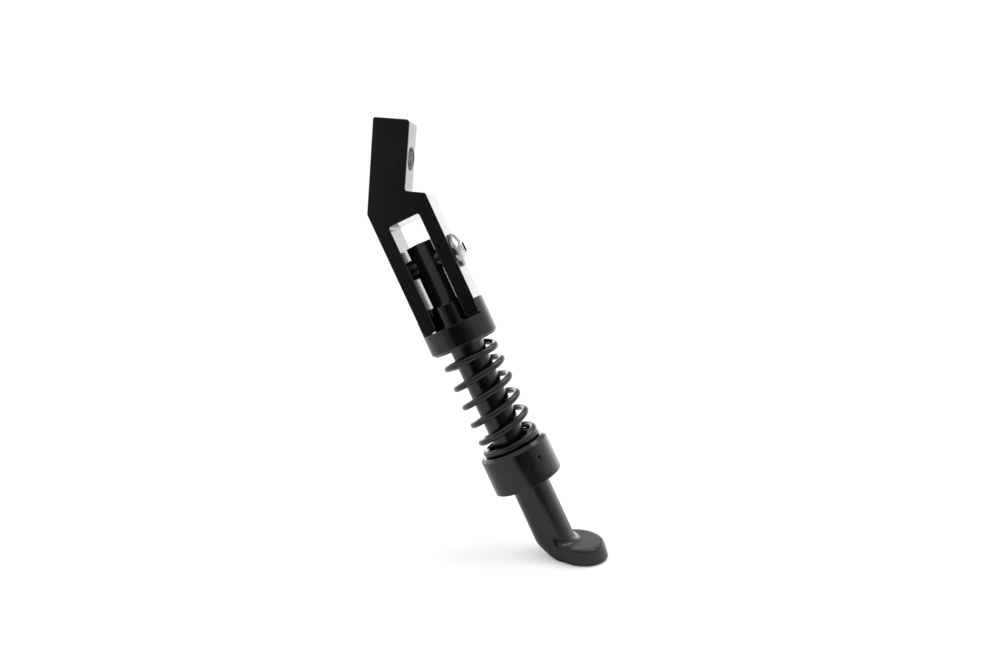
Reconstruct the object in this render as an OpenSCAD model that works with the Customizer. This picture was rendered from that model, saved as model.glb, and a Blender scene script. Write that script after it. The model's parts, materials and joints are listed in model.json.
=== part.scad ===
// Folding motorcycle kickstand: a forked bracket, a leg that pivots on a bolt,
// a sprung collar that slides up over the fork ends, a fixed collar and a round foot.
// Origin: centre of the frame bolt hole. +X outboard, +Y to the rear, +Z up.

/* [Stance] */
// Lean of the leg away from the vertical, towards outboard, in degrees
leg_lean = 25; // [20:1:30]
// Height of the pivot bolt above the ground
pivot_height = 144.5; // [140:0.5:150]

/* [Bracket] */
// Width of the fork, outer face to outer face
fork_w = 30; // [28:0.5:31]
// Depth of the fork, front to back
fork_d = 20; // [18:0.5:22]
// Width of the slot between the two prongs
slot_w = 16; // [15:0.5:17]
// Slot top above the pivot
slot_top = 22.5; // [20:0.5:24]
// Prong ends below the pivot
prong_len = 31.5; // [31:0.5:32]
// Outboard shoulder above the pivot
shoulder_h = 29.6; // [28:0.2:31]
// Inboard knee above the pivot
knee_h = 32.4; // [30:0.2:34]
// Angle between the tab and the prongs, in degrees
tab_bend = 30; // [24:1:34]
// Length of the tab from the knee to its top
tab_len = 45; // [40:1:60]
// Width of the tab, side to side
tab_w = 17.6; // [15:0.2:19]
// Depth of the tab, front to back
tab_d = 14; // [13:0.5:16]
// Diameter of the frame bolt hole through the tab
tab_hole_d = 10.5; // [8:0.5:11]
// Frame bolt hole below the top of the tab
tab_hole_drop = 17.2; // [14:0.2:22]

/* [Pivot bolt] */
// Shank diameter of the button-head bolt
bolt_d = 9.5; // [8:0.5:9.5]
// Head diameter
bolt_head_d = 16.8; // [14:0.2:17.4]
// Head height
bolt_head_h = 4.4; // [4:0.1:5]
// Hex socket across flats
bolt_socket = 5.6; // [5:0.1:6.4]

/* [Leg] */
// Hex tongue across flats
tongue_af = 12.7; // [12:0.1:14]
// Tongue top above the pivot
tongue_top = 10; // [8:0.5:14]
// Shaft shoulder below the pivot, where the hex tongue ends
tongue_len = 20.6; // [18:0.2:23]
// Diameter of the turned shaft
shaft_d = 17; // [16:0.1:17.4]
// Diameter of the lower bar
bar_d = 19; // [18:0.5:20]
// Heel rounding radius
heel_r = 10; // [6:1:12]

/* [Sliding collar] */
// Outer diameter of both collars
collar_d = 35; // [34:0.5:36]
// Height of both collars
collar_h = 19; // [17:0.5:20]
// Depth of the fork pocket in the sliding collar
pocket_h = 7.5; // [5:0.5:9]
// Width of the chamfer on the spring side of each collar
collar_chamfer = 1.5; // [0.5:0.1:2.5]

/* [Spring] */
// Outer diameter of the coil
spring_od = 29.8; // [27:0.2:31]
// Wire diameter
wire_d = 3.3; // [2.5:0.1:3.5]
// Number of turns that are not closed
active_turns = 5.5; // [4.5:1:7.5]
// Distance between the two collars
spring_len = 55; // [50:1:60]

/* [Set screw] */
// Diameter of the set screw in the lower collar
screw_d = 3; // [2.5:0.5:4]
// Length of the set screw
screw_len = 8.6; // [6:0.2:8.8]
// Hex socket of the set screw, across flats
screw_socket = 1.5; // [1.2:0.1:2]
// Direction the set screw faces: 0 is straight ahead, 90 is outboard, in degrees
screw_turn = 45; // [0:5:90]

/* [Foot] */
// Thickness of the foot pad
pad_h = 8.4; // [7:0.2:10]
// Diameter of the pad's top face
pad_top_d = 27.2; // [24:0.2:28]
// Diameter of the pad's sole
pad_sole_d = 29.4; // [28:0.2:31]
// Pad centre outboard of the leg axis, at the pad's top face
pad_reach = 12.1; // [10:0.1:14]

/* [Hidden] */
$fn = 96;
fit = 0.05;              // radial running clearance
gap = 0.3;               // clearance between faces that pass each other
over = 1;                // how far a cutter runs past the face it cuts
shaft_chamfer = 0.9;     // at the shaft's upper shoulder
head_rim = 0.9;          // straight rim under the button head's dome
socket_depth = 3;        // of the pivot bolt's hex socket
black = [0.06, 0.06, 0.065];
dark_steel = [0.16, 0.16, 0.17];

// Bracket outline, in the leg's frame: pivot at the origin, z along the prongs
tab_up = [sin(tab_bend), cos(tab_bend)];
tab_out = [cos(tab_bend), -sin(tab_bend)];
knee = [-fork_w / 2, knee_h];
shoulder = [fork_w / 2, shoulder_h];
tab_top_in = knee + tab_len * tab_up;
tab_top_out = tab_top_in + tab_w * tab_out;
tab_root_out = tab_top_out - ((tab_top_out - shoulder) * tab_up) * tab_up;
hole_at = tab_top_in + tab_out * tab_w / 2 - tab_up * tab_hole_drop;
tab_lean = tab_bend - leg_lean;
tab_y = (tab_d - fork_d) / 2;          // centre of the tab's depth, in the leg's frame

// Row frame place of the pivot
pivot = [-hole_at[0] * cos(leg_lean) + hole_at[1] * sin(leg_lean), -tab_y,
         -hole_at[0] * sin(leg_lean) - hole_at[1] * cos(leg_lean)];
ground = pivot[2] - pivot_height;

// Heights along the leg, all below the pivot
floor_z = -prong_len - gap;
collar_low = floor_z - (collar_h - pocket_h);
lower_top = collar_low - spring_len;
lower_low = lower_top - collar_h;
bar_top = lower_low + collar_h / 2;     // step from the shaft to the bar, inside the lower collar
bolt_len = fork_w;
prong_w = (fork_w - slot_w) / 2;

// Foot, in the row frame
pad_top = ground + pad_h;
pad_x = pivot[0] + (pivot[2] - pad_top) * tan(leg_lean) + pad_reach;
bead_r = 1.5;

module in_leg_frame() translate(pivot) rotate([0, -leg_lean, 0]) children();
module along_x(x0, len) translate([x0, 0, 0]) rotate([0, 90, 0]) linear_extrude(len) children();

// ---------------------------------------------------------------- bracket
module bracket_outline() difference() {
    polygon([knee, tab_top_in, tab_top_out, tab_root_out, shoulder,
             [fork_w / 2, -prong_len], [-fork_w / 2, -prong_len]]);
    translate([-slot_w / 2, -prong_len - over]) square([slot_w, prong_len + over + slot_top]);
}

// The rear lower edge of each prong follows an arc about the pivot, so the leg can fold back
module prong_end_relief() rotate([0, 90, 0]) difference() {
    translate([prong_len / 2, 0, -fork_w / 2 - over]) cube([prong_len, fork_d, fork_w + 2 * over]);
    translate([0, 0, -fork_w]) cylinder(r = prong_len, h = 2 * fork_w, $fn = 180);
}

module mount_bracket() color(black) in_leg_frame() difference() {
    translate([0, fork_d / 2, 0]) rotate([90, 0, 0]) linear_extrude(fork_d) bracket_outline();
    prong_end_relief();
    // back of the tab, set in from the back of the fork
    translate([shoulder[0], tab_d - fork_d / 2, shoulder[1]]) rotate([0, tab_bend, 0])
        translate([-2 * fork_w, 0, 0]) cube([3 * fork_w, fork_d, 2 * tab_len]);
    // frame bolt hole
    translate([hole_at[0], tab_y, hole_at[1]]) rotate([0, 90 + tab_bend, 0])
        cylinder(d = tab_hole_d, h = 2 * tab_w, center = true);
    // pivot bolt hole
    translate([-fork_w, 0, 0]) rotate([0, 90, 0]) cylinder(r = bolt_d / 2 + fit, h = 2 * fork_w);
}

// ------------------------------------------------------------- pivot bolt
module button_head() {
    flat_r = bolt_head_d * 0.27;
    rise = bolt_head_h - head_rim;
    run = bolt_head_d / 2 - flat_r;
    steps = 8;
    dome = [for (i = [0:steps]) let (a = 90 * i / steps)
            [flat_r + run * cos(a), head_rim + rise * sin(a)]];
    rotate_extrude() polygon(concat([[0, 0], [bolt_head_d / 2, 0]], dome, [[0, bolt_head_h]]));
}

module pivot_bolt() color(dark_steel) in_leg_frame() difference() {
    union() {
        translate([-fork_w / 2, 0, 0]) rotate([0, 90, 0]) cylinder(d = bolt_d, h = bolt_len);
        translate([fork_w / 2, 0, 0]) rotate([0, 90, 0]) button_head();
    }
    translate([fork_w / 2 + bolt_head_h - socket_depth, 0, 0]) rotate([0, 90, 0])
        cylinder(d = bolt_socket / cos(30), h = socket_depth + over, $fn = 6);
}

// -------------------------------------------------------------------- leg
module bar_solid() translate([0, 0, bar_top - pivot_height]) cylinder(d = bar_d, h = pivot_height);

// Everything below the ground, and the corner outside the heel's rounding
module heel_cut() {
    reach = 3 * bar_d;
    left = pivot[0] + pivot_height * tan(leg_lean) - bar_d / 2 / cos(leg_lean);
    half = (90 + leg_lean) / 2;
    run = heel_r / tan(half);
    translate([left - reach, -reach, ground - 2 * reach]) cube([4 * reach, 2 * reach, 2 * reach]);
    translate([left, bar_d, ground]) rotate([90, 0, 0]) difference() {
        linear_extrude(2 * bar_d)
            polygon([[-over, -over], [run, -over], [run, heel_r],
                     [-run * sin(leg_lean), run * cos(leg_lean)],
                     [-run * sin(leg_lean) - over, run * cos(leg_lean)]]);
        translate([run, heel_r, -over]) cylinder(r = heel_r, h = 2 * (bar_d + over));
    }
}

module leg_bar() color(black) difference() {
    in_leg_frame() difference() {
        union() {
            translate([0, 0, -tongue_len]) rotate([0, 0, 30])
                cylinder(d = tongue_af / cos(30), h = tongue_len + tongue_top, $fn = 6);
            translate([0, 0, bar_top])
                cylinder(d = shaft_d, h = -tongue_len - bar_top - shaft_chamfer);
            translate([0, 0, -tongue_len - shaft_chamfer])
                cylinder(r1 = shaft_d / 2, r2 = shaft_d / 2 - shaft_chamfer, h = shaft_chamfer);
            bar_solid();
        }
        // pivot bolt hole
        translate([-tongue_af, 0, 0]) rotate([0, 90, 0])
            cylinder(r = bolt_d / 2 + fit, h = 2 * tongue_af);
        // flats, so the shaft's upper end passes between the prongs
        for (side = [0, 180]) rotate([0, 0, side])
            translate([slot_w / 2 - gap, -shaft_d, floor_z])
            cube([shaft_d, 2 * shaft_d, -tongue_len - floor_z + over]);
    }
    heel_cut();
}

// ---------------------------------------------------------------- collars
module sliding_collar() color(black) in_leg_frame() difference() {
    translate([0, 0, collar_low]) union() {
        cylinder(r1 = collar_d / 2 - collar_chamfer, r2 = collar_d / 2, h = collar_chamfer);
        translate([0, 0, collar_chamfer]) cylinder(d = collar_d, h = collar_h - collar_chamfer);
    }
    translate([0, 0, collar_low - over]) cylinder(r = shaft_d / 2 + fit, h = collar_h + 2 * over);
    // pocket for the fork ends: open at the front and above, closed at the back
    translate([-fork_w / 2 - gap, -collar_d, floor_z])
        cube([fork_w + 2 * gap, collar_d + fork_d / 2 + gap, collar_h]);
}

module lower_collar() color(black) in_leg_frame() difference() {
    translate([0, 0, lower_low]) union() {
        cylinder(d = collar_d, h = collar_h - collar_chamfer);
        translate([0, 0, collar_h - collar_chamfer])
            cylinder(r1 = collar_d / 2, r2 = collar_d / 2 - collar_chamfer, h = collar_chamfer);
    }
    translate([0, 0, lower_low - over]) cylinder(d = shaft_d, h = collar_h + 2 * over);
    translate([0, 0, lower_low - over]) cylinder(d = bar_d, h = bar_top - lower_low + over);
    screw_place() cylinder(d = screw_d, h = collar_d);
}

// Set screw: radial, at mid height of the lower collar, with its tip on the shaft
screw_rise = 0.4;        // from the bar's step to the screw hole
module screw_place() translate([0, 0, bar_top + screw_d / 2 + screw_rise])
    rotate([0, 0, screw_turn - 90]) rotate([0, 90, 0]) translate([0, 0, shaft_d / 2]) children();

module collar_set_screw() color(dark_steel) in_leg_frame() screw_place() difference() {
    cylinder(d = screw_d, h = screw_len);
    translate([0, 0, screw_len - screw_socket])
        cylinder(d = screw_socket / cos(30), h = screw_socket + over, $fn = 6);
}

// ----------------------------------------------------------------- spring
// A right-handed coil: an open tip at the back under the sliding collar, one closed turn below
wire_sides = 8;
steps_per_turn = 20;
closed_turns = 0.75;
coil_r = (spring_od - wire_d) / 2;
total_turns = active_turns + closed_turns;
first_z = collar_low - gap - wire_d / 2;
last_z = lower_top + wire_d / 2;
coil_z = function (t) max(last_z, first_z + (last_z - first_z) * t / active_turns);
coil_point = function (t, k) let (turn = 90 - 360 * t, a = 360 * k / wire_sides,
    r = coil_r + wire_d / 2 * cos(a))
    [r * cos(turn), r * sin(turn), coil_z(t) + wire_d / 2 * sin(a)];

module return_spring() color(dark_steel) in_leg_frame() {
    rings = floor(total_turns * steps_per_turn);
    points = [for (i = [0:rings], k = [0:wire_sides - 1]) coil_point(i / steps_per_turn, k)];
    skin = [for (i = [0:rings - 1], k = [0:wire_sides - 1])
            let (a = i * wire_sides, n = (k + 1) % wire_sides)
            [a + k, a + n, a + wire_sides + n, a + wire_sides + k]];
    first = [for (k = [wire_sides - 1:-1:0]) k];
    last = [for (k = [0:wire_sides - 1]) rings * wire_sides + k];
    polyhedron(points, concat(skin, [first, last]));
}

// ------------------------------------------------------------------- foot
module foot_pad() color(black) difference() {
    translate([pad_x, pivot[1], ground]) cylinder(d1 = pad_sole_d, d2 = pad_top_d, h = pad_h);
    in_leg_frame() bar_solid();
}

// Fillet weld round the bar, where it stands on the pad's top face
module foot_weld() color(black) {
    beads = 20;
    sweep = 122;
    bead_at = function (a) [pad_x - pad_reach + bar_d / 2 / cos(leg_lean) * cos(a),
                            pivot[1] + bar_d / 2 * sin(a), pad_top];
    difference() {
        for (i = [0:beads - 1]) hull() for (j = [i, i + 1])
            let (a = -sweep + 2 * sweep * j / beads)
            translate(bead_at(a)) sphere(r = bead_r * (0.35 + 0.65 * cos(a / sweep * 90)), $fn = 8);
        in_leg_frame() bar_solid();
        translate([pad_x, pivot[1], ground]) cylinder(d1 = pad_sole_d, d2 = pad_top_d, h = pad_h);
    }
}

mount_bracket();
pivot_bolt();
leg_bar();
sliding_collar();
return_spring();
lower_collar();
collar_set_screw();
foot_pad();
foot_weld();
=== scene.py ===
"""A folding motorcycle kickstand, painted black, on a white studio sweep.

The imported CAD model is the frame. Every node is replaced here by a detailed piece in the same place:
a forked bracket, a pivot bolt, a hex tongue and shaft, a bar that flows into a round foot, two
collars, a coil spring and a set screw. Lengths are in millimetres until a mesh is finished.
"""

import json
import math

import bmesh
import bpy
import numpy as np
from mathutils import Matrix, Vector


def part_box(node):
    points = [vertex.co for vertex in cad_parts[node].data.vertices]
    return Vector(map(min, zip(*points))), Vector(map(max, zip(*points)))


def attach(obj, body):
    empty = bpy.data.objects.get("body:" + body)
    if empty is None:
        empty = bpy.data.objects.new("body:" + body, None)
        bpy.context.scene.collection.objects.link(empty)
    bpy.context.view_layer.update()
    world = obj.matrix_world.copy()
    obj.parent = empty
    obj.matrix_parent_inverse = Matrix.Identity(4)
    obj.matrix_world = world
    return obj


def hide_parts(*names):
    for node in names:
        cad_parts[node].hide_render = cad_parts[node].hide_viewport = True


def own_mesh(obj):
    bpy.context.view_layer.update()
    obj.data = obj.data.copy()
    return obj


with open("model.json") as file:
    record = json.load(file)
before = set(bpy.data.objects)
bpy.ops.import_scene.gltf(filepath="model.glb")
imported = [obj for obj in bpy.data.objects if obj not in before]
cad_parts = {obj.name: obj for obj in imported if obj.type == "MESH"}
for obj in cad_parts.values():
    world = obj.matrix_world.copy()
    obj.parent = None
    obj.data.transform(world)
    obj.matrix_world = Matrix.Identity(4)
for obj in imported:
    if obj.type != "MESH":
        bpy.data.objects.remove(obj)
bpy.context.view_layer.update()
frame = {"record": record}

MM = 0.001
JOINTS = {j["name"]: j for j in frame["record"]["behaviour"]["joints"]}
PIVOT = Vector(JOINTS["leg_swing"]["pos_m"]) / MM
LEG_DOWN = Vector(JOINTS["collar_slide"]["axis"]).normalized()
LEAN = math.atan2(LEG_DOWN.x, -LEG_DOWN.z)
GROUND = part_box("foot_pad")[0].z / MM
# The leg's frame: pivot at the origin, x along the bolt, y to the rear, z up along the leg
LEG_FRAME = Matrix.Translation(PIVOT) @ Matrix.Rotation(-LEAN, 4, "Y")

# Bracket, in the leg's frame
FORK_W, FORK_D, SLOT_W, SLOT_TOP, PRONG_LEN = 30.0, 20.0, 16.0, 22.5, 31.5
SHOULDER_H, KNEE_H = 29.6, 32.4
TAB_BEND, TAB_LEN, TAB_W, TAB_D = math.radians(30), 45.0, 17.6, 14.0
TAB_HOLE_D, TAB_HOLE_DROP = 10.5, 17.2
# Bolt
BOLT_D, HEAD_D, HEAD_H, HEAD_RIM, SOCKET_AF, SOCKET_DEPTH = 9.5, 16.8, 4.4, 0.9, 5.6, 3.0
# Leg
TONGUE_AF, TONGUE_TOP, TONGUE_LEN = 12.7, 10.0, 20.6
SHAFT_D, BAR_D = 17.0, 19.0
# Collars and the set screw in the lower one
COLLAR_D, COLLAR_H, POCKET_H, COLLAR_CHAMFER = 35.0, 19.0, 7.5, 1.5
SCREW_D, SCREW_LEN, SCREW_SOCKET, SCREW_TURN = 3.0, 8.6, 1.5, 45
# Spring
SPRING_OD, WIRE_D, SPRING_LEN = 29.8, 3.3, 55.0
# Running clearance, and clearance between faces that pass each other
FIT, GAP = 0.05, 0.3
# Foot
PAD_H, PAD_TOP_R, PAD_SOLE_R = 8.4, 13.1, 13.4
# Pad centre outboard of the pivot, at its top face and at its sole
PAD_TOP_X, PAD_SOLE_X = 74.5, 76.8

POCKET_FLOOR = -PRONG_LEN - GAP
COLLAR_LOW = POCKET_FLOOR - (COLLAR_H - POCKET_H)
LOWER_TOP = COLLAR_LOW - SPRING_LEN
LOWER_LOW = LOWER_TOP - COLLAR_H
BAR_TOP = LOWER_LOW + COLLAR_H / 2


# ------------------------------------------------------------------ mesh tools
def new_object(name, mesh):
    """An object in the scene that shows this mesh."""
    made = bpy.data.objects.new(name, mesh)
    bpy.context.scene.collection.objects.link(made)
    return made


def mesh_of(name, points, faces):
    """A mesh from points in millimetres and faces that index them, with its normals facing out."""
    mesh = bpy.data.meshes.new(name)
    mesh.from_pydata([tuple(p) for p in points], [], [tuple(f) for f in faces])
    form = bmesh.new()
    form.from_mesh(mesh)
    bmesh.ops.remove_doubles(form, verts=form.verts, dist=1e-5)
    bmesh.ops.recalc_face_normals(form, faces=form.faces)
    form.to_mesh(mesh)
    form.free()
    return mesh


def rounded(corners, steps=6):
    """The outline through corners (x, y, radius), with each corner turned into an arc of its radius."""
    outline = []
    for i, (x, y, radius) in enumerate(corners):
        here = Vector((x, y))
        back = (Vector(corners[i - 1][:2]) - here).normalized()
        ahead = (Vector(corners[(i + 1) % len(corners)][:2]) - here).normalized()
        half = back.angle(ahead) / 2
        if radius <= 0:
            outline.append(here)
            continue
        centre = here + (back + ahead).normalized() * (radius / math.sin(half))
        start = here + back * (radius / math.tan(half)) - centre
        end = here + ahead * (radius / math.tan(half)) - centre
        turn = start.angle_signed(end)
        for k in range(steps + 1):
            outline.append(centre + Matrix.Rotation(-turn * k / steps, 2) @ start)
    return outline


def lathe(name, corners, sides=128, steps=5):
    """A solid turned round the z axis. Corners are (radius, height, rounding); the outline closes."""
    outline = rounded(corners, steps)
    points, faces = [], []
    for s in range(sides):
        a = 2 * math.pi * s / sides
        points += [(p.x * math.cos(a), p.x * math.sin(a), p.y) for p in outline]
    n = len(outline)
    for s in range(sides):
        for i in range(n):
            j, t = (i + 1) % n, (s + 1) % sides
            faces.append((s * n + i, s * n + j, t * n + j, t * n + i))
    return new_object(name, solid_turned(name, points, faces))


def solid_turned(name, points, faces):
    """A turned mesh, with the faces that collapse on the axis cleaned away."""
    mesh = mesh_of(name, points, faces)
    form = bmesh.new()
    form.from_mesh(mesh)
    bmesh.ops.dissolve_degenerate(form, dist=1e-5, edges=form.edges)
    form.to_mesh(mesh)
    form.free()
    return mesh


def prism(name, outline, low, high):
    """An outline in x and y, extruded from low to high along z."""
    n = len(outline)
    points = [(p[0], p[1], low) for p in outline] + [(p[0], p[1], high) for p in outline]
    faces = [tuple(range(n)), tuple(range(n, 2 * n))]
    faces += [(i, (i + 1) % n, n + (i + 1) % n, n + i) for i in range(n)]
    return new_object(name, mesh_of(name, points, faces))


def regular(sides, radius, turn=0.0):
    """The corners of a regular polygon."""
    angles = [turn + 2 * math.pi * i / sides for i in range(sides)]
    return [(radius * math.cos(a), radius * math.sin(a)) for a in angles]


def rod(name, radius, low, high, sides=96):
    """A round cutter along z."""
    return prism(name, regular(sides, radius), low, high)


def block(name, low, high):
    """A box cutter between two corners."""
    return prism(name, [(low[0], low[1]), (high[0], low[1]), (high[0], high[1]), (low[0], high[1])],
                 low[2], high[2])


def placed(piece, matrix):
    """Moves a piece's mesh by a matrix."""
    piece.data.transform(matrix)
    return piece


def along_x(piece):
    """Turns a piece drawn along z so that it lies along x."""
    return placed(piece, Matrix.Rotation(math.pi / 2, 4, "Y"))


def apply_modifiers(piece):
    """Bakes a piece's modifiers into its mesh."""
    bpy.context.view_layer.update()
    graph = bpy.context.evaluated_depsgraph_get()
    mesh = bpy.data.meshes.new_from_object(piece.evaluated_get(graph), depsgraph=graph)
    piece.modifiers.clear()
    piece.data = mesh
    return piece


def combine(piece, other, operation="DIFFERENCE"):
    """Cuts other out of piece, or joins it on, and removes other."""
    step = piece.modifiers.new("combine", "BOOLEAN")
    step.operation, step.solver, step.object = operation, "EXACT", other
    apply_modifiers(piece)
    bpy.data.objects.remove(other)
    return piece


def soften(piece, width, segments=3, angle=28, clamp=True):
    """Rounds every sharp edge and gives flat faces flat normals."""
    form = bmesh.new()
    form.from_mesh(piece.data)
    bmesh.ops.remove_doubles(form, verts=form.verts, dist=1e-4)
    bmesh.ops.dissolve_limit(form, angle_limit=math.radians(0.5), verts=form.verts, edges=form.edges)
    form.to_mesh(piece.data)
    form.free()
    edge = piece.modifiers.new("edges", "BEVEL")
    edge.width, edge.segments, edge.limit_method = width, segments, "ANGLE"
    edge.angle_limit, edge.use_clamp_overlap = math.radians(angle), clamp
    edge.miter_outer = "MITER_ARC"
    apply_modifiers(piece)
    return smooth(piece)


def smooth(piece, angle=38):
    """Smooth shading, with face weighted normals so that flat faces stay flat."""
    piece.data.polygons.foreach_set("use_smooth", [True] * len(piece.data.polygons))
    piece.data.set_sharp_from_angle(angle=math.radians(angle))
    weights = piece.modifiers.new("normals", "WEIGHTED_NORMAL")
    weights.keep_sharp, weights.weight = True, 80
    return apply_modifiers(piece)


def finish_piece(piece, body, material, slot_name, *nodes, matrix=LEG_FRAME):
    """Puts a piece in its place in metres, on its body, with its material, for the nodes it stands for."""
    piece.data.transform(Matrix.Scale(MM, 4) @ matrix)
    piece.data.materials.clear()
    piece.data.materials.append(material)
    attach(piece, body)
    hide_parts(*nodes)
    return piece


# ------------------------------------------------------------- implicit shapes
def smooth_union(a, b, reach):
    """The union of two distance fields, with a fillet that reaches this far."""
    h = np.maximum(reach - np.abs(a - b), 0) / reach
    return np.minimum(a, b) - h * h * reach / 4


def round_cut(a, b, radius):
    """The intersection of two distance fields, with its edge rounded."""
    outer = np.hypot(np.maximum(radius + a, 0), np.maximum(radius + b, 0))
    return np.minimum(-radius, np.maximum(a, b)) + outer


def ease(x, start, end):
    """0 before start, 1 after end, smooth between them."""
    t = np.clip((x - start) / (end - start), 0, 1)
    return t * t * (3 - 2 * t)


def surface_net(field, low, high, step):
    """Points and quads of the surface where field(x, y, z) is zero, on a regular grid."""
    axes = [np.arange(low[i], high[i] + step, step) for i in range(3)]
    grid = np.stack(np.meshgrid(*axes, indexing="ij"), -1)
    value = field(grid[..., 0], grid[..., 1], grid[..., 2])
    cells = tuple(n - 1 for n in value.shape)
    total, count = np.zeros(cells + (3,)), np.zeros(cells)
    crossings = []
    for axis in range(3):
        b, c = (axis + 1) % 3, (axis + 2) % 3
        first = [slice(1, -1)] * 3
        second = [slice(1, -1)] * 3
        first[axis], second[axis] = slice(0, -1), slice(1, None)
        v0, v1 = value[tuple(first)], value[tuple(second)]
        at = np.argwhere((v0 < 0) != (v1 < 0))
        v0, v1 = v0[tuple(at.T)], v1[tuple(at.T)]
        node = at + 1
        node[:, axis] -= 1
        place = grid[tuple(node.T)].copy()
        place[:, axis] += step * v0 / (v0 - v1)
        around = []
        for db, dc in ((1, 1), (0, 1), (0, 0), (1, 0)):
            cell = node.copy()
            cell[:, b] -= db
            cell[:, c] -= dc
            around.append(np.ravel_multi_index(cell.T, cells))
            np.add.at(total.reshape(-1, 3), around[-1], place)
            np.add.at(count.reshape(-1), around[-1], 1)
        quads = np.stack(around, 1)
        quads[v0 >= 0] = quads[v0 >= 0][:, ::-1]
        crossings.append(quads)
    used = np.flatnonzero(count.reshape(-1))
    index = np.full(count.size, -1)
    index[used] = np.arange(len(used))
    points = total.reshape(-1, 3)[used] / count.reshape(-1)[used, None]
    return points, index[np.concatenate(crossings)]


def settle(field, points, rounds=4, probe=0.02):
    """Moves points onto the surface where field is zero."""
    for _ in range(rounds):
        here = field(*points.T)
        slope = np.stack([(field(*(points + probe * e).T) - field(*(points - probe * e).T)) / (2 * probe)
                          for e in np.eye(3)], 1)
        points = points - slope * (here / np.maximum((slope ** 2).sum(1), 1e-6))[:, None]
    return points


# ------------------------------------------------------------------- materials
def shader(name, base, roughness, metallic=0.0, coat=0.0):
    """A new material, its node tree and its Principled shader."""
    material = bpy.data.materials.new(name)
    material.use_nodes = True
    tree = material.node_tree
    principled = tree.nodes["Principled BSDF"]
    principled.inputs["Base Color"].default_value = (*base, 1)
    principled.inputs["Roughness"].default_value = roughness
    principled.inputs["Metallic"].default_value = metallic
    principled.inputs["Coat Weight"].default_value = coat
    principled.inputs["Coat Roughness"].default_value = 0.06
    return material, tree, principled


def add(tree, kind, **values):
    """A node, with its named inputs set, or joined where a value is another node's output."""
    node = tree.nodes.new(kind)
    for name, value in values.items():
        label = name.replace("_", " ")
        if label in node.inputs.keys():
            socket = node.inputs[label]
            if isinstance(value, bpy.types.NodeSocket):
                tree.links.new(value, socket)
            else:
                socket.default_value = value
        else:
            setattr(node, name, value)
    return node


def noise(tree, scale, detail=3.0, roughness=0.55):
    """Noise over the object, with its scale in cells per metre."""
    place = add(tree, "ShaderNodeTexCoord").outputs["Object"]
    return add(tree, "ShaderNodeTexNoise", Vector=place, Scale=scale, Detail=detail,
               Roughness=roughness).outputs["Fac"]


def ranged(tree, value, low, high, to_low, to_high):
    """A value mapped from one range to another, clamped."""
    node = tree.nodes.new("ShaderNodeMapRange")
    tree.links.new(value, node.inputs["Value"])
    for label, number in (("From Min", low), ("From Max", high), ("To Min", to_low), ("To Max", to_high)):
        node.inputs[label].default_value = number
    return node.outputs["Result"]


def mixed(tree, amount, first, second):
    """A colour between two others."""
    node = tree.nodes.new("ShaderNodeMix")
    node.data_type = "RGBA"
    tree.links.new(amount, node.inputs["Factor"])
    for label, colour in (("A", first), ("B", second)):
        socket = [s for s in node.inputs if s.name == label and s.type == "RGBA"][0]
        if isinstance(colour, bpy.types.NodeSocket):
            tree.links.new(colour, socket)
        else:
            socket.default_value = (*colour, 1)
    return [s for s in node.outputs if s.type == "RGBA"][0]


def edge_mask(tree, radius):
    """0 on faces, more where a face turns within this radius."""
    turned = add(tree, "ShaderNodeBevel", Radius=radius).outputs["Normal"]
    along = tree.nodes.new("ShaderNodeVectorMath")
    along.operation = "DOT_PRODUCT"
    tree.links.new(turned, along.inputs[0])
    tree.links.new(add(tree, "ShaderNodeNewGeometry").outputs["True Normal"], along.inputs[1])
    return ranged(tree, along.outputs["Value"], 0.0, 1.0, 1.0, 0.0)


def paint(name, base, roughness, peel, edge_highlight_amount):
    """Black paint over metal: orange peel, uneven gloss, dust specks, and a painted highlight that makes
    the edges a little lighter.
    """
    material, tree, principled = shader(name, base, roughness)
    cloud = noise(tree, 60, 4)
    speck = noise(tree, 2600, 1)
    fine = noise(tree, 900, 2)
    tone = mixed(tree, ranged(tree, cloud, 0.35, 0.7, 0, 1), base, tuple(1.5 * c for c in base))
    dusty = mixed(tree, ranged(tree, speck, 0.73, 0.8, 0, 0.5), tone, (0.03, 0.03, 0.03))
    # painted highlight: the rounded edges are painted lighter, where light would catch them
    edge_highlight_mask = ranged(tree, edge_mask(tree, 0.0007), 0.01, 0.12, 0, edge_highlight_amount)
    highlit_edges = mixed(tree, edge_highlight_mask, dusty, (0.09, 0.09, 0.095))
    tree.links.new(highlit_edges, principled.inputs["Base Color"])
    gloss = ranged(tree, cloud, 0.3, 0.75, roughness * 0.85, roughness * 1.25)
    tree.links.new(gloss, principled.inputs["Roughness"])
    skin = add(tree, "ShaderNodeBump", Strength=peel, Distance=0.00006, Height=fine)
    tree.links.new(skin.outputs["Normal"], principled.inputs["Normal"])
    return material


def machined(name, base, roughness, metallic, grain):
    """Bare or blackened metal with fine tool marks and slight colour change."""
    material, tree, principled = shader(name, base, roughness, metallic)
    cloud = noise(tree, 180, 4)
    marks = noise(tree, grain, 2, 0.7)
    tone = mixed(tree, ranged(tree, cloud, 0.3, 0.7, 0, 1), tuple(0.75 * c for c in base),
                 tuple(1.25 * c for c in base))
    tree.links.new(tone, principled.inputs["Base Color"])
    tree.links.new(ranged(tree, marks, 0.3, 0.7, roughness * 0.75, roughness * 1.3),
                   principled.inputs["Roughness"])
    skin = add(tree, "ShaderNodeBump", Strength=0.25, Distance=0.00004, Height=marks)
    tree.links.new(skin.outputs["Normal"], principled.inputs["Normal"])
    return material


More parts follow.
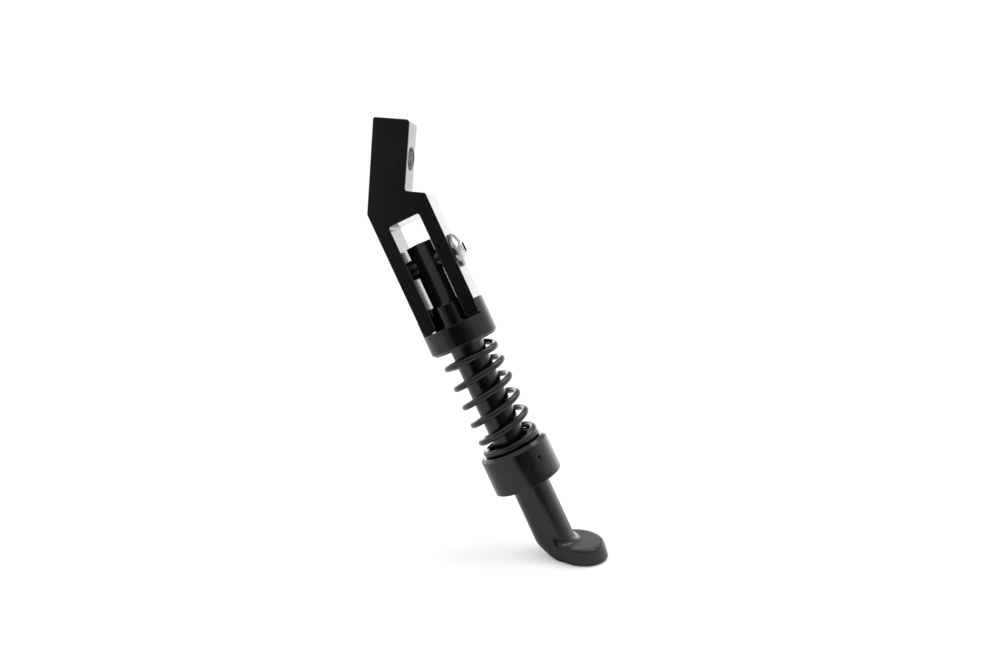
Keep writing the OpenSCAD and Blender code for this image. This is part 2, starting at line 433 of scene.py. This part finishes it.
BLACK = (0.0026, 0.0026, 0.0028)
# the last number is how much lighter the painted edge highlight makes the edges
bracket_paint = paint("bracket_paint", BLACK, 0.20, 0.30, 0.75)
leg_paint = paint("leg_paint", BLACK, 0.17, 0.30, 0.15)
collar_paint = paint("collar_paint", BLACK, 0.15, 0.20, 0.50)
spring_paint = paint("spring_paint", BLACK, 0.14, 0.15, 0.10)
black_oxide = machined("black_oxide", (0.05, 0.05, 0.053), 0.22, 1.0, 2400)
plated_steel = machined("plated_steel", (0.45, 0.45, 0.46), 0.15, 1.0, 1800)
bare_bore = machined("bare_bore", (0.75, 0.75, 0.75), 0.35, 1.0, 2400)


# --------------------------------------------------------------------- bracket
def bracket_corners():
    """The bracket's outline in x and z of the leg's frame, with a rounding for each corner."""
    up = Vector((math.sin(TAB_BEND), math.cos(TAB_BEND)))
    out = Vector((math.cos(TAB_BEND), -math.sin(TAB_BEND)))
    knee = Vector((-FORK_W / 2, KNEE_H))
    shoulder = Vector((FORK_W / 2, SHOULDER_H))
    top_in = knee + TAB_LEN * up
    top_out = top_in + TAB_W * out
    root = top_out - (top_out - shoulder).dot(up) * up
    side, slot = FORK_W / 2, SLOT_W / 2
    return [(*knee, 1.2), (*top_in, 1.1), (*top_out, 1.7), (*root, 1.3), (*shoulder, 1.0),
            (side, -PRONG_LEN, 2.0), (slot, -PRONG_LEN, 2.2), (slot, SLOT_TOP, 1.3),
            (-slot, SLOT_TOP, 1.3), (-slot, -PRONG_LEN, 2.2), (-side, -PRONG_LEN, 2.0)]


def make_bracket():
    """The fork and its bent tab, one block with milled faces and small rounded edges."""
    body = prism("mount_bracket_body", rounded(bracket_corners()), -FORK_D / 2, FORK_D / 2)
    placed(body, Matrix.Rotation(math.pi / 2, 4, "X"))
    set_in = block("set_in", (-2 * FORK_W, TAB_D - FORK_D / 2, 0), (FORK_W, FORK_D, 2 * TAB_LEN))
    placed(set_in, Matrix.Translation((FORK_W / 2, 0, SHOULDER_H)) @ Matrix.Rotation(TAB_BEND, 4, "Y"))
    combine(body, set_in)
    up = Vector((math.sin(TAB_BEND), 0, math.cos(TAB_BEND)))
    out = Vector((math.cos(TAB_BEND), 0, -math.sin(TAB_BEND)))
    knee = Vector((-FORK_W / 2, (TAB_D - FORK_D) / 2, KNEE_H))
    hole_at = knee + up * (TAB_LEN - TAB_HOLE_DROP) + out * TAB_W / 2
    hole = rod("hole", TAB_HOLE_D / 2, -TAB_W, TAB_W)
    across_tab = Matrix.Rotation(math.pi / 2 + TAB_BEND, 4, "Y")
    combine(body, placed(hole, Matrix.Translation(hole_at) @ across_tab))
    combine(body, along_x(rod("hole", BOLT_D / 2 + FIT, -FORK_W, FORK_W)))
    soften(body, 0.55, clamp=False)
    relief = block("relief", (-FORK_W, 0, -2 * PRONG_LEN), (FORK_W, FORK_D, -PRONG_LEN / 2))
    combine(relief, along_x(rod("keep", PRONG_LEN, -2 * FORK_W, 2 * FORK_W, 240)))
    combine(body, relief)
    soften(body, 0.2, 2)
    finish_piece(body, "bracket", bracket_paint, "black_paint", "mount_bracket")
    bare_hole(body)
    return body


def bare_hole(body):
    """Leaves the wall of the frame bolt hole unpainted. The hole's axis passes through the origin."""
    body.data.materials.append(bare_bore)
    lean = TAB_BEND - LEAN
    axis = Vector((math.cos(lean), 0, -math.sin(lean)))
    for face in body.data.polygons:
        away = face.center - face.center.dot(axis) * axis
        inside = away.length < (TAB_HOLE_D / 2 + 0.1) * MM and abs(face.normal.dot(axis)) < 0.3
        face.material_index = 1 if inside else 0


# ------------------------------------------------------------------ pivot bolt
def make_bolt():
    """A button-head bolt with a hex socket. It lies along x with its head on the outboard side."""
    shank, head = BOLT_D / 2, HEAD_D / 2
    chamfer, edge = 1.1, 0.25
    dome = [(head * math.cos(a), HEAD_RIM + (HEAD_H - HEAD_RIM) * math.sin(a), 0)
            for a in (math.radians(d) for d in range(6, 62, 5))]
    corners = [(0, -FORK_W, 0), (shank - chamfer, -FORK_W, 0.2), (shank, -FORK_W + chamfer, 0.2),
               (shank, 0, 0), (head - edge, 0, 0), (head, edge, 0), *dome,
               (SOCKET_AF / 2 + 0.9, HEAD_H, 0.2), (0, HEAD_H, 0)]
    bolt = lathe("pivot_bolt_body", corners)
    socket = rod("socket", SOCKET_AF / 2 / math.cos(math.pi / 6), HEAD_H - SOCKET_DEPTH, HEAD_H + 1, 6)
    combine(bolt, socket)
    mouth = lathe("mouth", [(0, HEAD_H - 1.2, 0), (SOCKET_AF / 2 + 0.75, HEAD_H + edge, 0),
                            (0, HEAD_H + edge, 0)])
    combine(bolt, mouth)
    soften(bolt, 0.12, 2)
    placed(bolt, Matrix.Translation((FORK_W / 2, 0, 0)) @ Matrix.Rotation(math.pi / 2, 4, "Y"))
    shank_faces = [face.index for face in bolt.data.polygons if face.center.x < FORK_W / 2]
    finish_piece(bolt, "bracket", plated_steel, "bright_steel", "pivot_bolt")
    bolt.data.materials.append(black_oxide)
    for index in shank_faces:
        bolt.data.polygons[index].material_index = 1
    return bolt


# ------------------------------------------------------------------------- leg
def make_shaft():
    """The hex tongue, bored for the bolt, and the turned shaft down to inside the lower collar."""
    low, edge = BAR_TOP - 1, SHAFT_D / 2
    shaft = lathe("leg_shaft_body", [(0, low, 0), (edge, low, 0), (edge, -TONGUE_LEN - 1.0, 0.4),
                                     (edge - 0.9, -TONGUE_LEN, 0.2), (0, -TONGUE_LEN, 0)])
    tongue = prism("tongue", regular(6, TONGUE_AF / 2 / math.cos(math.pi / 6), math.pi / 6),
                   -TONGUE_LEN - 2, TONGUE_TOP)
    combine(shaft, tongue, "UNION")
    combine(shaft, along_x(rod("bore", BOLT_D / 2 + FIT, -TONGUE_AF, TONGUE_AF)))
    flat = SLOT_W / 2 - GAP
    for near, far in ((flat, SHAFT_D), (-SHAFT_D, -flat)):
        combine(shaft, block("flat", (near, -SHAFT_D, POCKET_FLOOR), (far, SHAFT_D, 0)))
    soften(shaft, 0.35)
    return finish_piece(shaft, "leg", leg_paint, "leg_paint", "leg_bar")


def foot_field(x, y, z):
    """Distance to the bar and the foot pad as one smooth body. x is from the pivot, z from the ground."""
    down = -(z + GROUND - PIVOT.z)
    along = x * LEG_DOWN.x + down * -LEG_DOWN.z
    away = np.sqrt(np.maximum(x * x + y * y + down * down - along * along, 1e-9))
    bar = np.maximum(away - BAR_D / 2, -BAR_TOP - along)
    height = z / PAD_H
    centre = PAD_SOLE_X + (PAD_TOP_X - PAD_SOLE_X) * height
    radius = PAD_SOLE_R + (PAD_TOP_R - PAD_SOLE_R) * height
    side = np.hypot(x - centre, y) - radius
    pad = round_cut(side, z - PAD_H, 1.3)
    axis_x = (PIVOT.z - GROUND - PAD_H) * math.tan(LEAN)
    outboard = ease(x, axis_x - 4, axis_x + 5)
    body = smooth_union(bar, pad, 7.5 - 5.0 * outboard)
    heel = 8.0 - 6.3 * ease(x, axis_x - 6, axis_x + 4)
    return round_cut(body, -z, heel)


def make_foot():
    """The lower bar and the round foot that it flows into, down to the sole."""
    top = PIVOT.z - GROUND + BAR_TOP * math.cos(LEAN)
    low = (-BAR_TOP * math.sin(LEAN) - BAR_D, -PAD_SOLE_R - 3, -2.0)
    high = (PAD_SOLE_X + PAD_SOLE_R + 2, PAD_SOLE_R + 3, top + BAR_D / 2)
    points, quads = surface_net(foot_field, low, high, 0.6)
    points = settle(foot_field, points)
    points[:, 2] = np.maximum(points[:, 2], 0)
    foot = new_object("lower_leg_and_foot", mesh_of("lower_leg_and_foot", points, quads))
    smooth(foot, 60)
    place = Matrix.Translation((PIVOT.x, PIVOT.y, GROUND))
    nodes = ("foot_pad", "foot_weld", "leg_bar")
    return finish_piece(foot, "leg", leg_paint, "leg_paint", *nodes, matrix=place)


# --------------------------------------------------------------------- collars
def make_sliding_collar():
    """The collar that slides on the shaft, with its pocket for the fork's ends, open at the front."""
    bore, edge, low = SHAFT_D / 2 + FIT, COLLAR_D / 2, COLLAR_LOW
    collar = lathe("sliding_collar_body", [(bore, low, 0), (edge - COLLAR_CHAMFER, low, 0),
                                           (edge, low + COLLAR_CHAMFER, 0), (edge, low + COLLAR_H, 0),
                                           (bore, low + COLLAR_H, 0)], 160)
    half = FORK_W / 2 + GAP
    pocket = block("pocket", (-half, -COLLAR_D, POCKET_FLOOR), (half, FORK_D / 2 + GAP, low + 2 * COLLAR_H))
    combine(collar, pocket)
    soften(collar, 0.35)
    return finish_piece(collar, "slider", collar_paint, "collar_paint", "sliding_collar")


SCREW_PLACE = (Matrix.Translation((0, 0, BAR_TOP + SCREW_D / 2 + 0.4))
               @ Matrix.Rotation(math.radians(SCREW_TURN - 90), 4, "Z")
               @ Matrix.Rotation(math.pi / 2, 4, "Y") @ Matrix.Translation((0, 0, SHAFT_D / 2)))


def make_lower_collar():
    """The fixed collar under the spring, chamfered at its top, with a hole for its set screw."""
    bore, edge, low = SHAFT_D / 2, COLLAR_D / 2, LOWER_LOW
    high = low + COLLAR_H
    collar = lathe("lower_collar_body", [(bore + 1, low, 0), (edge, low, 0),
                                         (edge, high - COLLAR_CHAMFER, 0),
                                         (edge - COLLAR_CHAMFER, high, 0), (bore, high, 0),
                                         (bore, BAR_TOP, 0),
                                         (bore + 1, BAR_TOP, 0)], 160)
    combine(collar, placed(rod("hole", SCREW_D / 2, 0, COLLAR_D, 48), SCREW_PLACE))
    soften(collar, 0.3)
    return finish_piece(collar, "leg", collar_paint, "collar_paint", "lower_collar")


def make_set_screw():
    """The set screw that locks the lower collar, flush with its side, with a hex socket."""
    radius = SCREW_D / 2
    point, edge = 0.7, 0.25
    screw = lathe("set_screw_body", [(0, 0.4, 0), (radius - point, 0, 0), (radius, point, 0),
                                     (radius, SCREW_LEN - edge, 0), (radius - edge, SCREW_LEN, 0),
                                     (0, SCREW_LEN, 0)], 64)
    corner = SCREW_SOCKET / 2 / math.cos(math.pi / 6)
    combine(screw, rod("socket", corner, SCREW_LEN - SCREW_SOCKET, SCREW_LEN + 1, 6))
    soften(screw, 0.08, 2)
    placed(screw, SCREW_PLACE)
    return finish_piece(screw, "leg", collar_paint, "black_oxide", "collar_set_screw")


# ---------------------------------------------------------------------- spring
TOTAL_TURNS, FIRST_DROP, PITCH = 6.4, 1.5, 9.6


def spring_drop(t):
    """How far the wire's centre is below the sliding collar after t turns. The coils tilt a little."""
    tilt = 0.8 - 2.2 * math.exp((0.5 - max(t, 0.25)) / 0.8)
    free = FIRST_DROP + PITCH * t + tilt * math.cos(2 * math.pi * (t - 0.75))
    seat = SPRING_LEN - WIRE_D / 2
    softness = 1.2
    blend = max(softness - abs(free - seat), 0) / softness
    return max(min(free, seat) - blend * blend * softness / 4, WIRE_D / 2 + 0.1)


def make_spring(steps=72, sides=20):
    """A right-handed coil with an open tip at the back and a closed end on the lower collar."""
    coil, wire = (SPRING_OD - WIRE_D) / 2, WIRE_D / 2
    rings = int(TOTAL_TURNS * steps)
    centres = []
    for i in range(rings + 1):
        t = i / steps
        turn = math.radians(90 - 360 * t)
        centres.append(Vector((coil * math.cos(turn), coil * math.sin(turn), COLLAR_LOW - spring_drop(t))))
    points = []
    for i, centre in enumerate(centres):
        run = (centres[min(i + 1, rings)] - centres[max(i - 1, 0)]).normalized()
        outward = Vector((centre.x, centre.y, 0)).normalized()
        outward = (outward - outward.dot(run) * run).normalized()
        across = run.cross(outward)
        ring_radius = wire - (0.25 if i in (0, rings) else 0)
        points += [centre + ring_radius * (math.cos(a) * outward + math.sin(a) * across)
                   for a in (2 * math.pi * k / sides for k in range(sides))]
    faces = []
    for i in range(rings):
        for k in range(sides):
            here, beside = i * sides + k, i * sides + (k + 1) % sides
            faces.append((here, beside, beside + sides, here + sides))
    faces += [tuple(range(sides)), tuple(rings * sides + k for k in range(sides))]
    spring = new_object("return_spring_coil", mesh_of("return_spring_coil", points, faces))
    smooth(spring, 50)
    finish_piece(spring, "leg", spring_paint, "spring_black", "return_spring")
    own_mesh(spring)
    return spring


# ----------------------------------------------------------------------- stage
def make_camera():
    """The camera, at the photograph's angle and distance."""
    data = bpy.data.cameras.new("camera")
    data.lens, data.sensor_width = 25.36, 36.0
    camera = bpy.data.objects.new("camera", data)
    azimuth, down, roll = math.radians(8.04), math.radians(8.10), math.radians(0.22)
    turn = (Matrix.Rotation(azimuth, 4, "Z") @ Matrix.Rotation(math.pi / 2 - down, 4, "X")
            @ Matrix.Rotation(roll, 4, "Z"))
    camera.matrix_world = Matrix.Translation((0.0983, -0.3320, -0.0354)) @ turn
    data.clip_start = 0.01
    bpy.context.scene.collection.objects.link(camera)
    bpy.context.scene.camera = camera


def make_floor():
    """A white sweep that ends in front of the object, so that its front reflects the dark room."""
    front, back, side = -0.24, 1.6, 1.6
    mesh = bpy.data.meshes.new("floor")
    z = GROUND * MM
    corners = [(-side, front, z), (side, front, z), (side, back, z), (-side, back, z)]
    mesh.from_pydata(corners, [], [(0, 1, 2, 3)])
    material, tree, principled = shader("floor_white", (0.90, 0.90, 0.90), 0.7)
    tone = mixed(tree, noise(tree, 12, 2), (0.89, 0.89, 0.89), (0.91, 0.91, 0.91))
    tree.links.new(tone, principled.inputs["Base Color"])
    principled.inputs["Specular IOR Level"].default_value = 0.1
    # an overexposed sweep: brighter where the camera sees it, and far behind the object in reflections
    path = add(tree, "ShaderNodeLightPath")
    place = tree.nodes.new("ShaderNodeSeparateXYZ")
    tree.links.new(add(tree, "ShaderNodeNewGeometry").outputs["Position"], place.inputs[0])
    behind = ranged(tree, place.outputs["Y"], 0.25, 0.6, 0, 1.3)
    glow = add(tree, "ShaderNodeMath", operation="MULTIPLY")
    tree.links.new(path.outputs["Is Glossy Ray"], glow.inputs[0])
    tree.links.new(behind, glow.inputs[1])
    total = add(tree, "ShaderNodeMath", operation="ADD")
    tree.links.new(glow.outputs[0], total.inputs[0])
    tree.links.new(ranged(tree, path.outputs["Is Camera Ray"], 0, 1, 0, 0.27), total.inputs[1])
    principled.inputs["Emission Color"].default_value = (1, 1, 1, 1)
    tree.links.new(total.outputs[0], principled.inputs["Emission Strength"])
    mesh.materials.append(material)
    new_object("floor", mesh)


def make_world():
    """A white tent, open towards the camera, where the room is dark."""
    world = bpy.data.worlds.new("tent")
    world.use_nodes = True
    bpy.context.scene.world = world
    tree = world.node_tree
    tree.nodes.clear()
    ray = add(tree, "ShaderNodeTexCoord").outputs["Generated"]
    split = tree.nodes.new("ShaderNodeSeparateXYZ")
    tree.links.new(ray, split.inputs[0])

    def maths(operation, first, second=0.0):
        node = tree.nodes.new("ShaderNodeMath")
        node.operation = operation
        for socket, value in zip(node.inputs, (first, second)):
            if isinstance(value, bpy.types.NodeSocket):
                tree.links.new(value, socket)
            else:
                socket.default_value = value
        return node.outputs[0]

    # compass angle of the ray, 0.5 towards the camera's side, more towards outboard
    angle = maths("ARCTAN2", split.outputs["X"], maths("MULTIPLY", split.outputs["Y"], -1.0))
    share = maths("ADD", maths("MULTIPLY", angle, 0.5 / math.pi), 0.5)
    ramp = tree.nodes.new("ShaderNodeValToRGB")
    tree.links.new(share, ramp.inputs["Fac"])
    stops = [(-180, 3.1), (-110, 1.7), (-60, 1.2), (-42, 0.7), (-36, 0.45), (-20, 0.35), (-14, 0.05),
             (14, 0.04), (24, 0.13), (50, 0.18), (62, 0.5), (90, 0.9), (120, 1.5), (158, 2.4), (180, 3.1)]
    scale = 3.2
    while len(ramp.color_ramp.elements) < len(stops):
        ramp.color_ramp.elements.new(0.5)
    for element, (degrees, level) in zip(ramp.color_ramp.elements, stops):
        element.position = degrees / 360 + 0.5
        element.color = (level / scale,) * 3 + (1,)
    level = maths("MULTIPLY", ramp.outputs["Color"], scale)
    overhead = ranged(tree, split.outputs["Z"], 0.22, 0.36, 0, 1)
    low = maths("MULTIPLY", level, maths("SUBTRACT", 1.0, overhead))
    lit = maths("ADD", low, maths("MULTIPLY", overhead, 0.8))
    tent, sweep = tree.nodes.new("ShaderNodeBackground"), tree.nodes.new("ShaderNodeBackground")
    tree.links.new(lit, tent.inputs["Strength"])
    sweep.inputs["Strength"].default_value = 1.05
    for light in (tent, sweep):
        light.inputs["Color"].default_value = (1, 1, 1, 1)
    seen = add(tree, "ShaderNodeLightPath").outputs["Is Camera Ray"]
    pick, out = tree.nodes.new("ShaderNodeMixShader"), tree.nodes.new("ShaderNodeOutputWorld")
    tree.links.new(seen, pick.inputs[0])
    tree.links.new(tent.outputs[0], pick.inputs[1])
    tree.links.new(sweep.outputs[0], pick.inputs[2])
    tree.links.new(pick.outputs[0], out.inputs["Surface"])


def make_light(name, place, target, size, watts):
    """A soft square light that isn't seen itself."""
    data = bpy.data.lights.new(name, "AREA")
    data.shape, data.size, data.energy = "SQUARE", size, watts
    light = bpy.data.objects.new(name, data)
    light.location = place
    light.rotation_euler = (Vector(target) - Vector(place)).to_track_quat("-Z", "Y").to_euler()
    light.visible_camera = False
    bpy.context.scene.collection.objects.link(light)


make_camera()
make_bracket()
make_bolt()
make_shaft()
make_foot()
make_sliding_collar()
make_lower_collar()
make_set_screw()
make_spring()
make_floor()
make_world()
make_light("key", (0.45, 0.15, 0.60), (0.06, 0, -0.15), 0.60, 2.2)
bpy.context.scene.view_settings.view_transform = "Standard"
